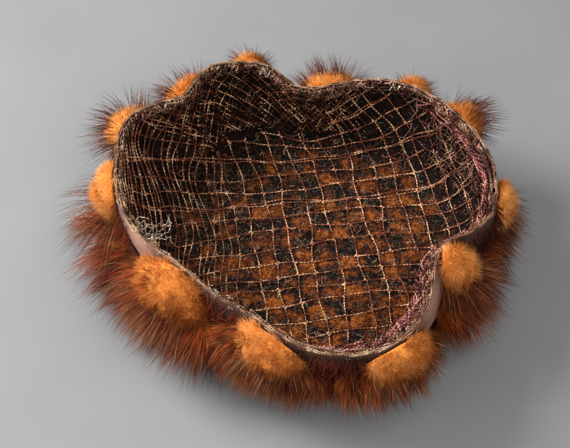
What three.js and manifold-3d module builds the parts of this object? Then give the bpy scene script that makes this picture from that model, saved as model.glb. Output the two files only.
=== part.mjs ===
// A vintage fur toque lying upside down: a cloth wall with twelve puffs of fur round the rim, a darker
// row of tufts below them, a fur crown pressed flat where the hat lies, and a coarse net lining.
// Millimetres, +Z up, +Y away from the viewer. The head opening faces up.

import * as THREE from 'three';
import Module from 'manifold-3d';

const wasm = await Module();
wasm.setup();
const { CrossSection } = wasm;

// Sizes that drive the hat

const NET_THICKNESS = 1.2;
const BAND_THICKNESS = 1.6;
const HEM_THICKNESS = 1.5;
const PIECE_GAP = 0.5; // between one layer of the wall and the next
const TUFT_GAP = 0.8; // between the band and the backs of the tufts
const TABLE_HEIGHT = 0;
const WALL_COLUMNS = 30; // meshes of the net round the wall
const NET_CORD = 3.2; // width of one net cord
const FLOOR_PITCH = 14; // meshes of the net over the crown
const LEAST_GAP_SHARE = 0.3; // a mesh of the net cut smaller than this by the corner is left out
const HEM_GATHER = 1.5; // how far the gathers of the hem stand in
const HEAD_SIZE = 562; // round the inside of the rim, 22 inches

// The middle of the rim, measured from the middle of the whole hat
const RIM_CENTRE = { x: -0.8, y: 1.5 };

// The inside of the wall, from the flat crown up to the rim. The radius is that of the round shape before
// its dents, dents is the share of the rim's dents that reaches this height, and shiftX and shiftY
// move the section's middle from the middle of the rim.
const SECTIONS = [
  { name: 'crown edge', height: 12.5, radius: 56.0, dents: 0.02, shiftX: 5.0, shiftY: 7.0 },
  { name: 'corner', height: 14.6, radius: 67.0, dents: 0.12, shiftX: 4.5, shiftY: 6.0 },
  { name: 'heel', height: 22.5, radius: 76.5, dents: 0.30, shiftX: 3.6, shiftY: 4.4 },
  { name: 'belly', height: 34.0, radius: 84.5, dents: 0.55, shiftX: 2.2, shiftY: 2.4 },
  { name: 'wall', height: 46.5, radius: 89.5, dents: 0.80, shiftX: 0.8, shiftY: 0.8 },
  { name: 'rim', height: 59.0, radius: 91.6, dents: 1.0, shiftX: 0.0, shiftY: 0.0 },
];

// Dents and lobes of the rim: where they lie, how wide they are, how far they stand out from the round
// shape, and how far they lift the edge. Angles run from +X towards +Y.
const RIM_BENDS = [
  { name: 'far notch', at: 88.9, width: 22.8, out: -19.0, lift: -3.0 },
  { name: 'far lobe, sharp edge', at: 103.0, width: 7.0, out: 8.0, lift: 1.5 },
  { name: 'far lobe', at: 116.6, width: 12.4, out: 8.0, lift: 3.5 },
  { name: 'far left dimple', at: 131.3, width: 8.5, out: -6.0, lift: 0.0 },
  { name: 'left lobe', at: 150.9, width: 11.6, out: 6.5, lift: 1.5 },
  { name: 'near left dent', at: 221.3, width: 34.6, out: -24.9, lift: -3.0 },
  { name: 'near dent', at: 254.0, width: 17.9, out: -9.8, lift: -1.0 },
  { name: 'near right lobe', at: 294.0, width: 16.0, out: 0.0, lift: -2.0 },
  { name: 'right dent', at: 330.3, width: 22.9, out: -23.4, lift: 1.0 },
  { name: 'right lobe', at: 349.0, width: 8.0, out: 4.0, lift: 1.0 },
];

// Puffs of fur round the rim: at is the angle, from and to bound the tuft's share of the wall, wide is
// half of the puff along the wall, deep is how far it stands out, low is the drop from the rim to its top,
// and fringe is the length of its guard-hair locks.
const TUFTS = [
  { name: '01', at: 104.5, from: 96, to: 113, wide: 9.5, deep: 15, low: 5, fringe: 10 },
  { name: '02', at: 125, from: 113, to: 137, wide: 15, deep: 17, low: 4, fringe: 14 },
  { name: '03', at: 149, from: 137, to: 161, wide: 15, deep: 18, low: 4, fringe: 18 },
  { name: '04', at: 176, from: 161, to: 192, wide: 18, deep: 20, low: 4, fringe: 24 },
  { name: '05', at: 213, from: 192, to: 237, wide: 20, deep: 24, low: 3, fringe: 22 },
  { name: '06', at: 260, from: 237, to: 278, wide: 20, deep: 23, low: 3, fringe: 21 },
  { name: '07', at: 295, from: 278, to: 316, wide: 20, deep: 21, low: 3, fringe: 20 },
  { name: '08', at: 334, from: 316, to: 350, wide: 17, deep: 23, low: 3, fringe: 17 },
  { name: '09', at: 5, from: -10, to: 20, wide: 17, deep: 18, low: 4, fringe: 15 },
  { name: '10', at: 35, from: 20, to: 47, wide: 16, deep: 17, low: 4, fringe: 14 },
  { name: '11', at: 58, from: 47, to: 70, wide: 14, deep: 16, low: 5, fringe: 12 },
  { name: '12', at: 82, from: 70, to: 93, wide: 14, deep: 17, low: 5, fringe: 13 },
];

// The rows of tufts, and what differs between them. droop is how far the locks hang, and spokes is the
// number of points round a tuft, of which every second one is a lock.
const ROWS = {
  rim: { spokes: 14, deepShare: 1.0, fringeShare: 1.0, droop: 0.25 },
  lower: { spokes: 12, deepShare: 0.8, fringeShare: 1.25, droop: 0.55 },
};
const LOWER_SHELF = { height: 30.5, slope: -0.22 }; // the rim tufts stay above it, the lower ones below
const SHELF_GAP = 0.5;
const CROWN_SLANT = THREE.MathUtils.degToRad(52); // lean of the planes between the lower tufts and the crown
const CROWN_GAP = 0.5;
const LOWEST_TUFT = 2.0;
const LOWEST_BACK = 22; // the lower tufts are sewn to the wall above this height

// Crown fur, from its flat foot out and up to the pelt's edge: radius from the middle of the crown,
// height, and how far every second lock stands out.
const CROWN_RINGS = [
  { name: 'foot', radius: 56, height: 0.0, lock: 3.0 },
  { name: 'first locks', radius: 66, height: 2.2, lock: 9.0 },
  { name: 'between', radius: 70, height: 6.0, lock: 1.0 },
  { name: 'second locks', radius: 74, height: 9.5, lock: 8.0 },
];
const CROWN_SPOKES = 48;

// Colours as seen in the fur, net and cloth
const MATERIALS = {
  net: { color: 0x6b4a33, roughness: 0.8 },
  hem: { color: 0x7c5550, roughness: 0.9 },
  band: { color: 0x8a6257, roughness: 0.95 },
  puff: { color: 0xc77a3c, roughness: 0.95 },
  guard: { color: 0x5b3326, roughness: 0.9 },
  crown: { color: 0x3f2820, roughness: 0.95 },
};

const degrees = THREE.MathUtils.degToRad;
const UP = new THREE.Vector3(0, 0, 1);

function turnFrom(angle, middle) {
  return THREE.MathUtils.euclideanModulo(angle - middle + 180, 360) - 180;
}

function bendsAt(angle) {
  const sum = { out: 0, lift: 0 };
  for (const bend of RIM_BENDS) {
    const share = Math.exp(-((turnFrom(angle, bend.at) / bend.width) ** 2));
    sum.out += bend.out * share;
    sum.lift += bend.lift * share;
  }
  return sum;
}

// One column of SECTIONS at a station, counted in rows: a smooth curve through the rows.
function column(name, station) {
  const last = SECTIONS.length - 1;
  const row = Math.min(Math.floor(station), last - 1);
  const at = (index) => SECTIONS[THREE.MathUtils.clamp(index, 0, last)][name];
  const t = station - row;
  const start = (at(row + 1) - at(row - 1)) / 2;
  const end = (at(row + 2) - at(row)) / 2;
  const rise = at(row + 1) - at(row);
  return at(row) + start * t + (3 * rise - 2 * start - end) * t ** 2 + (start + end - 2 * rise) * t ** 3;
}

// A point on the inside of the wall, at an angle and a station.
function wallPoint(angle, station) {
  const bend = bendsAt(angle);
  const radius = column('radius', station) + column('dents', station) * bend.out;
  const height = column('height', station);
  const foot = SECTIONS[0].height;
  const rise = (height - foot) / (SECTIONS.at(-1).height - foot);
  return new THREE.Vector3(
    RIM_CENTRE.x + column('shiftX', station) + radius * Math.cos(degrees(angle)),
    RIM_CENTRE.y + column('shiftY', station) + radius * Math.sin(degrees(angle)),
    height + rise * bend.lift,
  );
}

// The direction out of the hat at a point of the wall. The crown itself is flat.
function wallOut(angle, station) {
  if (station === 0) {
    return UP.clone().negate();
  }
  const step = 0.02;
  const last = SECTIONS.length - 1;
  const low = Math.max(station - step, 0);
  const high = Math.min(station + step, last);
  const along = wallPoint(angle + 1, station).sub(wallPoint(angle - 1, station));
  const up = wallPoint(angle, high).sub(wallPoint(angle, low));
  return along.cross(up).normalize();
}

function layerPoint(angle, station, offset) {
  return wallPoint(angle, station).addScaledVector(wallOut(angle, station), offset);
}

// The station where the wall reaches a height.
function stationAt(height, angle) {
  let low = 0;
  let high = SECTIONS.length - 1;
  for (let halving = 0; halving < 30; halving += 1) {
    const middle = (low + high) / 2;
    if (wallPoint(angle, middle).z < height) {
      low = middle;
    } else {
      high = middle;
    }
  }
  return (low + high) / 2;
}

// Collects corner points and faces, and turns the faces out if they all face in.
class Body {
  constructor() {
    this.points = [];
    this.faces = [];
  }

  add(point) {
    this.points.push(point);
    return this.points.length - 1;
  }

  face(...corners) {
    for (let i = 2; i < corners.length; i += 1) {
      this.faces.push([corners[0], corners[i - 1], corners[i]]);
    }
  }

  volume() {
    const side = new THREE.Vector3();
    let sum = 0;
    for (const [a, b, c] of this.faces) {
      side.crossVectors(this.points[b], this.points[c]);
      sum += this.points[a].dot(side) / 6;
    }
    return sum;
  }

  geometry() {
    if (this.volume() < 0) {
      this.faces.forEach((face) => face.reverse());
    }
    const geometry = new THREE.BufferGeometry();
    geometry.setAttribute('position', new THREE.Float32BufferAttribute(this.points.flatMap((p) => p.toArray()), 3));
    geometry.setIndex(this.faces.flat());
    return geometry;
  }
}

// A curved sheet between two surfaces over a grid of cells, closed at its edges and round every gap.
// It runs right round, so the last angle joins the first. Its first ring may be left open.
function sheet(angles, stations, inside, outside, isSolid = () => true, closesStart = true) {
  const body = new Body();
  const side = (surface) => angles.map((angle, i) => stations.map((station) => body.add(surface(angle, station, i))));
  const inner = side(inside);
  const outer = side(outside);
  const next = (i) => (i + 1) % angles.length;
  const filled = (i, j) => j >= 0 && j < stations.length - 1 && isSolid((i + angles.length) % angles.length, j);
  for (let i = 0; i < angles.length; i += 1) {
    for (let j = 0; j < stations.length - 1; j += 1) {
      if (filled(i, j)) {
        body.face(outer[i][j], outer[next(i)][j], outer[next(i)][j + 1], outer[i][j + 1]);
        body.face(inner[i][j], inner[i][j + 1], inner[next(i)][j + 1], inner[next(i)][j]);
      }
    }
    for (let j = 0; j < stations.length; j += 1) {
      if (filled(i, j) && !filled(i, j - 1) && (j > 0 || closesStart)) {
        body.face(inner[i][j], inner[next(i)][j], outer[next(i)][j], outer[i][j]);
      }
      if (!filled(i, j) && filled(i, j - 1)) {
        body.face(outer[i][j], outer[next(i)][j], inner[next(i)][j], inner[i][j]);
      }
      if (filled(i, j) && !filled(i - 1, j)) {
        body.face(inner[i][j], outer[i][j], outer[i][j + 1], inner[i][j + 1]);
      }
      if (!filled(i, j) && filled(i - 1, j)) {
        body.face(outer[i][j], inner[i][j], inner[i][j + 1], outer[i][j + 1]);
      }
    }
  }
  return body;
}

// A closed skin over rings of equally many points, with a point in the middle of each end.
function skin(first, rings, last) {
  const body = new Body();
  const loops = rings.map((ring) => ring.map((point) => body.add(point)));
  const count = rings[0].length;
  const start = body.add(first);
  const end = body.add(last);
  for (let i = 0; i < count; i += 1) {
    const next = (i + 1) % count;
    body.face(start, loops[0][next], loops[0][i]);
    for (let j = 0; j < loops.length - 1; j += 1) {
      body.face(loops[j][i], loops[j][next], loops[j + 1][next], loops[j + 1][i]);
    }
    body.face(end, loops.at(-1)[i], loops.at(-1)[next]);
  }
  return body;
}

// The angles shared by every layer of the wall: two edges of each net cord and the middle of each gap.
function wallAngles() {
  const pitch = 360 / WALL_COLUMNS;
  const cord = (NET_CORD / HEAD_SIZE) * 360;
  const angles = [];
  for (let i = 0; i < WALL_COLUMNS; i += 1) {
    angles.push(i * pitch, i * pitch + cord, i * pitch + (pitch + cord) / 2);
  }
  return angles;
}

const ANGLES = wallAngles();
const CORD_COLUMN = 3; // every third column of ANGLES is a cord
const NET_STATIONS = [0, 0.3, 1.1, 1.9, 2.15, 3.1, 4.05, 5];
const NET_CORD_ROWS = [0, 3, 6];
const BAND_STATIONS = [1.7, 2.4, 3.1, 4.05, 5];
const HEM_STATIONS = [4.05, 5];
const BAND_INNER = NET_THICKNESS + PIECE_GAP;
const BAND_OUTER = BAND_INNER + BAND_THICKNESS;
const CROWN_STATION = 1.6; // where the crown's pelt ends on the heel, just below the band

// The square meshes of the net over the crown, cut off round where they meet the corner. Each is a list of
// points in the plane.
function crownGaps(middle) {
  const gap = FLOOR_PITCH - NET_CORD;
  const radius = SECTIONS[0].radius - NET_CORD;
  const round = CrossSection.circle(radius, WALL_COLUMNS);
  const reach = Math.ceil(radius / FLOOR_PITCH);
  const gaps = [];
  for (let i = -reach; i < reach; i += 1) {
    for (let j = -reach; j < reach; j += 1) {
      const place = [(i + 0.5) * FLOOR_PITCH, (j + 0.5) * FLOOR_PITCH];
      const cell = CrossSection.square([gap, gap], true).translate(place).intersect(round);
      if (cell.area() > LEAST_GAP_SHARE * gap * gap) {
        gaps.push(cell.toPolygons()[0].map(([x, y]) => new THREE.Vector2(x + middle.x, y + middle.y)));
      }
    }
  }
  return gaps;
}

// The net on the wall has its gaps between the cords. Over the crown it is flat, and the first ring of the
// wall is its edge.
function netLining() {
  const crown = SECTIONS[0];
  const middle = { x: RIM_CENTRE.x + crown.shiftX, y: RIM_CENTRE.y + crown.shiftY };
  const isCord = (i, j) => i % CORD_COLUMN === 0 || NET_CORD_ROWS.includes(j);
  const inside = (angle, station) => layerPoint(angle, station, 0);
  const outside = (angle, station) => layerPoint(angle, station, NET_THICKNESS);
  const body = sheet(ANGLES, NET_STATIONS, inside, outside, isCord, false);
  const gaps = crownGaps(middle);
  const level = (height, ring) => {
    const loops = gaps.map((gap) => gap.map((p) => body.add(new THREE.Vector3(p.x, p.y, height))));
    const holes = loops.map((loop) => loop.toReversed());
    const outline = (loop) => loop.map((index) => [body.points[index].x, body.points[index].y]);
    return { loops, corners: [ring, ...holes].flat(), faces: wasm.triangulate([ring, ...holes].map(outline)) };
  };
  const firstOf = (side) => ANGLES.map((angle, i) => (side * ANGLES.length + i) * NET_STATIONS.length);
  const top = level(crown.height, firstOf(0));
  const bottom = level(crown.height - NET_THICKNESS, firstOf(1));
  for (const [a, b, c] of top.faces) {
    body.face(top.corners[a], top.corners[b], top.corners[c]);
  }
  for (const [a, b, c] of bottom.faces) {
    body.face(bottom.corners[a], bottom.corners[c], bottom.corners[b]);
  }
  top.loops.forEach((loop, k) => loop.forEach((corner, i) => {
    const next = (i + 1) % loop.length;
    body.face(corner, loop[next], bottom.loops[k][next], bottom.loops[k][i]);
  }));
  return body.geometry();
}

function netHem() {
  const gather = (i) => (i % 2) * HEM_GATHER;
  const outside = (angle, station, i) => layerPoint(angle, station, -PIECE_GAP - gather(i));
  const inside = (angle, station, i) => layerPoint(angle, station, -PIECE_GAP - gather(i) - HEM_THICKNESS);
  return sheet(ANGLES, HEM_STATIONS, inside, outside).geometry();
}

function sideBand() {
  const inside = (angle, station) => layerPoint(angle, station, BAND_INNER);
  const outside = (angle, station) => layerPoint(angle, station, BAND_OUTER);
  return sheet(ANGLES, BAND_STATIONS, inside, outside).geometry();
}

// The slanted plane that parts the lower tufts from the crown fur, in one tuft's share of the wall.
function crownPlane(tuft) {
  const middle = (tuft.from + tuft.to) / 2;
  const out = new THREE.Vector3(Math.cos(degrees(middle)), Math.sin(degrees(middle)), 0);
  const normal = out.clone().multiplyScalar(Math.cos(CROWN_SLANT)).addScaledVector(UP, Math.sin(CROWN_SLANT));
  const touch = layerPoint(middle, CROWN_STATION, BAND_OUTER + TUFT_GAP);
  return { normal, distance: normal.dot(touch) };
}

const CROWN_PLANES = TUFTS.map(crownPlane);

function pushAcross(point, normal, distance, isBeyond) {
  const over = normal.dot(point) - distance;
  if (isBeyond ? over < 0 : over > 0) {
    point.addScaledVector(normal, -over);
  }
}

// The height that parts the two rows of tufts. It falls away from the wall.
function shelfHeight(tuft, point) {
  const middle = degrees((tuft.from + tuft.to) / 2);
  const out = (point.x - RIM_CENTRE.x) * Math.cos(middle) + (point.y - RIM_CENTRE.y) * Math.sin(middle);
  return LOWER_SHELF.height + LOWER_SHELF.slope * (out - SECTIONS.at(-1).radius);
}

// Keeps a point of a tuft in its own share of the wall, on its side of the shelf and above the table.
function keepInPlace(point, tuft, row, index) {
  const edge = 0.35;
  for (const [angle, sign] of [[tuft.from, 1], [tuft.to, -1]]) {
    const normal = new THREE.Vector3(-Math.sin(degrees(angle)), Math.cos(degrees(angle)), 0).multiplyScalar(sign);
    const distance = normal.x * RIM_CENTRE.x + normal.y * RIM_CENTRE.y + edge;
    pushAcross(point, normal, distance, true);
  }
  if (row === 'rim') {
    point.z = Math.max(point.z, shelfHeight(tuft, point));
  } else {
    point.z = Math.min(point.z, shelfHeight(tuft, point) - SHELF_GAP);
    pushAcross(point, CROWN_PLANES[index].normal, CROWN_PLANES[index].distance + CROWN_GAP, true);
    point.z = Math.max(point.z, LOWEST_TUFT);
  }
}

// One tuft: a back that follows the wall, a round front, and locks that stand out of the front.
function tuftBody(tuft, row, index) {
  const kind = ROWS[row];
  const back = BAND_OUTER + TUFT_GAP;
  const rimHeight = wallPoint(tuft.at, SECTIONS.length - 1).z;
  const shelfStation = stationAt(LOWER_SHELF.height, tuft.at);
  const shelf = shelfHeight(tuft, layerPoint(tuft.at, shelfStation, back));
  const top = row === 'rim' ? rimHeight - tuft.low : shelf - 2 * SHELF_GAP;
  const bottom = row === 'rim' ? shelf + 2 * SHELF_GAP : LOWEST_BACK;
  const tall = (top - bottom) / 2;
  const middleHeight = (top + bottom) / 2;
  const deep = tuft.deep * kind.deepShare;
  const fringe = tuft.fringe * kind.fringeShare;
  const station = stationAt(middleHeight, tuft.at);
  const facing = wallOut(tuft.at, station);
  const across = new THREE.Vector3().crossVectors(UP, facing).normalize();
  const wallRadius = wallPoint(tuft.at, station).sub(new THREE.Vector3(RIM_CENTRE.x, RIM_CENTRE.y, 0)).setZ(0).length();
  const onWall = (u, v, offset) => {
    const turn = THREE.MathUtils.radToDeg(u / wallRadius);
    const margin = (180 / Math.PI) * (0.8 / wallRadius);
    const angle = THREE.MathUtils.clamp(tuft.at + turn, tuft.from + margin, tuft.to - margin);
    return layerPoint(angle, stationAt(middleHeight + v, angle), offset);
  };
  const ring = (share, front, lock) => {
    const points = [];
    for (let spoke = 0; spoke < kind.spokes; spoke += 1) {
      const turn = (spoke / kind.spokes) * 2 * Math.PI;
      const u = Math.cos(turn) * share * tuft.wide;
      const v = Math.sin(turn) * share * tall;
      const point = onWall(u, v, back);
      const hangs = 0.35 + 0.65 * (0.5 - 0.5 * Math.sin(turn)); // locks are longest below
      const stands = spoke % 2 === 0 ? lock * hangs : 0;
      const uneven = 1 + 0.25 * Math.sin(spoke * 2.3 + index * 1.7);
      point.addScaledVector(facing, front * deep + stands * fringe * uneven * 0.8);
      point.addScaledVector(across, Math.cos(turn) * stands * fringe * uneven);
      point.z += (Math.sin(turn) * 0.7 - kind.droop) * stands * fringe * uneven;
      keepInPlace(point, tuft, row, index);
      points.push(point);
    }
    return points;
  };
  const pole = onWall(0, 0, back).addScaledVector(facing, deep);
  keepInPlace(pole, tuft, row, index);
  const rings = [ring(0.35, 0, 0), ring(0.7, 0, 0), ring(1, 0, 0), ring(1.05, 0.35, 0.8), ring(0.85, 0.72, 0), ring(0.5, 0.92, 0.35)];
  return skin(onWall(0, 0, back), rings, pole);
}

// The crown's pelt lies under the net and the heel of the wall, and its fur spreads on the table.
function crownFur() {
  const crown = SECTIONS[0];
  const middle = new THREE.Vector3(RIM_CENTRE.x + crown.shiftX, RIM_CENTRE.y + crown.shiftY, 0);
  const inner = NET_THICKNESS + PIECE_GAP;
  const angles = Array.from({ length: CROWN_SPOKES }, (_, i) => (i / CROWN_SPOKES) * 360);
  const keep = (point) => {
    for (const plane of CROWN_PLANES) {
      pushAcross(point, plane.normal, plane.distance, false);
    }
    return point;
  };
  const innerRing = (station) => angles.map((angle) => layerPoint(angle, station, inner));
  const lockRing = (row) => angles.map((angle, i) => {
    const uneven = 1 + 0.3 * Math.sin(i * 1.9 + row.height);
    const radius = row.radius + (i % 2 === 0 ? row.lock * uneven : 0);
    const place = new THREE.Vector3(Math.cos(degrees(angle)), Math.sin(degrees(angle)), 0).multiplyScalar(radius);
    return keep(place.add(middle).setZ(row.height));
  });
  const edge = angles.map((angle) => keep(layerPoint(angle, CROWN_STATION, BAND_OUTER)));
  const rings = [
    innerRing(0),
    innerRing(CROWN_STATION * 0.35),
    innerRing(CROWN_STATION * 0.7),
    innerRing(CROWN_STATION),
    edge,
    ...CROWN_RINGS.toReversed().map(lockRing),
  ];
  const top = middle.clone().setZ(crown.height - inner);
  return skin(top, rings, middle.clone().setZ(TABLE_HEIGHT)).geometry();
}

const group = new THREE.Group();
group.name = 'fur_toque_hat';

function addPiece(name, geometry, look) {
  const material = new THREE.MeshStandardMaterial({ ...MATERIALS[look], metalness: 0 });
  material.name = look;
  const mesh = new THREE.Mesh(geometry, material);
  mesh.name = name;
  group.add(mesh);
}

addPiece('net_lining', netLining(), 'net');
addPiece('net_hem', netHem(), 'hem');
addPiece('side_band', sideBand(), 'band');
addPiece('crown_fur', crownFur(), 'crown');
TUFTS.forEach((tuft, index) => {
  addPiece(`rim_tuft_${tuft.name}`, tuftBody(tuft, 'rim', index).geometry(), 'puff');
  addPiece(`lower_tuft_${tuft.name}`, tuftBody(tuft, 'lower', index).geometry(), 'guard');
});

export default group;
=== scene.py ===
import bpy
import numpy as np
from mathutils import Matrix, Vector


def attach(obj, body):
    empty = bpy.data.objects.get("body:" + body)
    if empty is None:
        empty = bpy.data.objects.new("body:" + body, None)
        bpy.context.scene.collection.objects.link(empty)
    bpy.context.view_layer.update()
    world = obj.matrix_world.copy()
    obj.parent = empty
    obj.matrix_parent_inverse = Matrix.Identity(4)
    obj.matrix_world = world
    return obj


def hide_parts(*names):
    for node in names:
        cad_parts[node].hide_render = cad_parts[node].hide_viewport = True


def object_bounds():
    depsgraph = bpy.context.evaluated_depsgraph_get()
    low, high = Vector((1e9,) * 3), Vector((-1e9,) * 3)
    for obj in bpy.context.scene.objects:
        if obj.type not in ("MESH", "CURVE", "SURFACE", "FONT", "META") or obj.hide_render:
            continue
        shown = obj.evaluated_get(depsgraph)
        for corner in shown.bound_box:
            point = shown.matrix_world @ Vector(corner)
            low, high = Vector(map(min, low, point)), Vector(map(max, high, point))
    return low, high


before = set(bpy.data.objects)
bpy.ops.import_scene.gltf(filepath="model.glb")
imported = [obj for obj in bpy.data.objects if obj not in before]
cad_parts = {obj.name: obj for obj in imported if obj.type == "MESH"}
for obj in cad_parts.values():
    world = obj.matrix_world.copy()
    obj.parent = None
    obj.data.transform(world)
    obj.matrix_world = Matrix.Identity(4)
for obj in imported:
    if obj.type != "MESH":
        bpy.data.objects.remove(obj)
cad_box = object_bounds()

MM = 0.001
TAU = 2 * np.pi
UP = np.array([0.0, 0.0, 1.0])
rng = np.random.default_rng(1948)


def records(columns, *rows):
    """Rows of values as dictionaries, by the names in columns."""
    return [dict(zip(columns.split(), row)) for row in rows]


# Sizes of the hat, as in the part's source

NET_THICKNESS = 1.2
BAND_THICKNESS = 1.6
PIECE_GAP = 0.5
TUFT_GAP = 0.8
BAND_INNER = NET_THICKNESS + PIECE_GAP
BAND_OUTER = BAND_INNER + BAND_THICKNESS
BAND_FOOT = 1.7  # the station where the band ends on the heel
CROWN_STATION = 1.6
RIM_STATION = 5.0
RIM_CENTRE = np.array([-0.8, 1.5])

# The wall's level sections, one at each whole station from 0 at the crown's edge to 5 at the rim
SECTIONS = records(
    "name height radius dents shift_x shift_y",
    ("crown edge", 12.5, 56.0, 0.02, 5.0, 7.0),
    ("corner", 14.6, 67.0, 0.12, 4.5, 6.0),
    ("heel", 22.5, 76.5, 0.30, 3.6, 4.4),
    ("belly", 34.0, 84.5, 0.55, 2.2, 2.4),
    ("wall", 46.5, 89.5, 0.80, 0.8, 0.8),
    ("rim", 59.0, 91.6, 1.0, 0.0, 0.0),
)
RIM_BENDS = records(
    "name at width out lift",
    ("far notch", 88.9, 22.8, -19.0, -3.0),
    ("far lobe, sharp edge", 103.0, 7.0, 8.0, 1.5),
    ("far lobe", 116.6, 12.4, 8.0, 3.5),
    ("far left dimple", 131.3, 8.5, -6.0, 0.0),
    ("left lobe", 150.9, 11.6, 6.5, 1.5),
    ("near left dent", 221.3, 34.6, -24.9, -3.0),
    ("near dent", 254.0, 17.9, -9.8, -1.0),
    ("near right lobe", 294.0, 16.0, 0.0, -2.0),
    ("right dent", 330.3, 22.9, -23.4, 1.0),
    ("right lobe", 349.0, 8.0, 4.0, 1.0),
)
# The puffs round the rim. Each is a dome on the wall: its angle, half width, how far it stands out, how far
# its top is over the rim, its lowest height, the reach of the long hair, and how much paler it is.
TUFTS = records(
    "name at wide deep top bottom fur tone",
    ("01", 107, 7.5, 13.0, 0.0, 37, 14, 0.0),
    ("02", 128, 14.5, 11.5, 0.5, 32, 19, 0.0),
    ("03", 149, 11.5, 14.0, -0.5, 40, 23, 0.3),
    ("04", 171, 14.5, 11.5, 0.5, 33, 42, 0.4),
    ("05", 216, 20.0, 14.5, 2.5, 29, 31, -0.35),
    ("06", 260, 14.5, 11.5, 1.0, 39, 19, -0.2),
    ("07", 295, 15.5, 10.5, 2.0, 38, 20, -0.15),
    ("08", 332, 11.5, 12.0, 1.5, 36, 30, 0.35),
    ("09", 3, 10.5, 8.0, -1.0, 35, 24, 0.6),
    ("10", 36, 10.5, 13.0, -0.5, 42, 20, 0.15),
    ("11", 53, 8.0, 8.5, 1.0, 36, 13, 0.0),
    ("12", 79, 14.0, 11.5, -0.5, 32, 20, 0.0),
)
# The lower tufts, which lie between and under the puffs: angle, half width, how far each stands out, its
# greatest height and how dense its guard hair is. A veil is hair on the band beside the tuft: from and to
# which angle, and how many.
LOWER_BOTTOM = 15.0
LOWER_TUFTS = records(
    "name at wide deep top dense veil",
    ("01", 105, 13.0, 8.0, 44, 1.0),
    ("02", 125, 17.0, 9.0, 42, 1.0),
    ("03", 149, 17.0, 11.0, 42, 1.0, (158, 164, 90)),
    ("04", 184, 23.0, 13.0, 42, 2.0, (178, 191, 170)),
    ("05", 216, 28.0, 12.0, 50, 1.0, (226, 250, 420)),
    ("06", 257, 27.0, 9.0, 54, 1.0, (266, 287, 420)),
    ("07", 293, 26.0, 9.0, 53, 1.0),
    ("08", 333, 21.0, 11.0, 45, 1.0, (342, 358, 240)),
    ("09", 5, 20.0, 11.0, 42, 1.0),
    ("10", 34, 19.0, 10.0, 42, 1.0),
    ("11", 58, 16.0, 8.0, 42, 1.0),
    ("12", 82, 18.0, 9.0, 42, 1.0),
)


def unit(v):
    return v / np.maximum(np.linalg.norm(v, axis=-1, keepdims=True), 1e-9)


def ray_at(angle):
    """Level directions at angles."""
    turn = np.radians(angle)
    return np.stack([np.cos(turn), np.sin(turn), 0 * turn], -1)


def turn_from(at, angle):
    """How far an angle is from at, between -180 and 180."""
    return (angle - at + 180) % 360 - 180


def bends_at(angle):
    """How far the rim stands out and is lifted at an angle."""
    out, lift = 0.0 * angle, 0.0 * angle
    for bend in RIM_BENDS:
        share = np.exp(-((turn_from(bend["at"], angle) / bend["width"]) ** 2))
        out = out + bend["out"] * share
        lift = lift + bend["lift"] * share
    return out, lift


def column(name, station):
    """One column of SECTIONS at a station: a smooth curve through the rows."""
    values = np.array([row[name] for row in SECTIONS])
    last = len(values) - 1
    row = np.clip(np.floor(station).astype(int), 0, last - 1)
    t = station - row
    here, above = values[row], values[row + 1]
    start = (above - values[np.maximum(row - 1, 0)]) / 2
    end = (values[np.minimum(row + 2, last)] - here) / 2
    rise = above - here
    return here + start * t + (3 * rise - 2 * start - end) * t**2 + (start + end - 2 * rise) * t**3


def wall_point(angle, station):
    """Points on the inside of the wall."""
    angle, station = np.broadcast_arrays(np.asarray(angle, float), np.asarray(station, float))
    out, lift = bends_at(angle)
    radius = column("radius", station) + column("dents", station) * out
    height = column("height", station)
    foot, rim = SECTIONS[0]["height"], SECTIONS[-1]["height"]
    height = height + (height - foot) / (rim - foot) * lift
    middle = np.stack([column("shift_x", station), column("shift_y", station), height], -1)
    return middle + np.append(RIM_CENTRE, 0) + ray_at(angle) * radius[..., None]


def wall_out(angle, station):
    """Directions out of the hat on the wall."""
    angle, station = np.broadcast_arrays(np.asarray(angle, float), np.asarray(station, float))
    along = wall_point(angle + 1, station) - wall_point(angle - 1, station)
    low = np.maximum(station - 0.02, 0)
    high = np.minimum(station + 0.02, RIM_STATION)
    return unit(np.cross(along, wall_point(angle, high) - wall_point(angle, low)))


def layer_point(angle, station, offset):
    """Points at an offset out of the inside of the wall."""
    return wall_point(angle, station) + wall_out(angle, station) * np.asarray(offset, float)[..., None]


def station_at(height, angle):
    """The station where the wall reaches a height."""
    height, angle = np.broadcast_arrays(np.asarray(height, float), np.asarray(angle, float))
    low = np.zeros_like(height)
    high = np.full_like(height, RIM_STATION)
    for _ in range(24):
        middle = (low + high) / 2
        below = wall_point(angle, middle)[..., 2] < height
        low = np.where(below, middle, low)
        high = np.where(below, high, middle)
    return (low + high) / 2


# The lining as one bowl, by the distance along it from the middle of the crown
PROFILE = np.linspace(0, RIM_STATION, 200)
PROFILE_STEPS = np.hypot(np.diff(column("radius", PROFILE)), np.diff(column("height", PROFILE)))
CROWN_RADIUS = SECTIONS[0]["radius"]
PROFILE_REACH = CROWN_RADIUS + np.concatenate([[0], np.cumsum(PROFILE_STEPS)])
RIM_REACH = PROFILE_REACH[-1]
CROWN_MIDDLE = np.array([
    RIM_CENTRE[0] + SECTIONS[0]["shift_x"], RIM_CENTRE[1] + SECTIONS[0]["shift_y"], SECTIONS[0]["height"],
])


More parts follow.
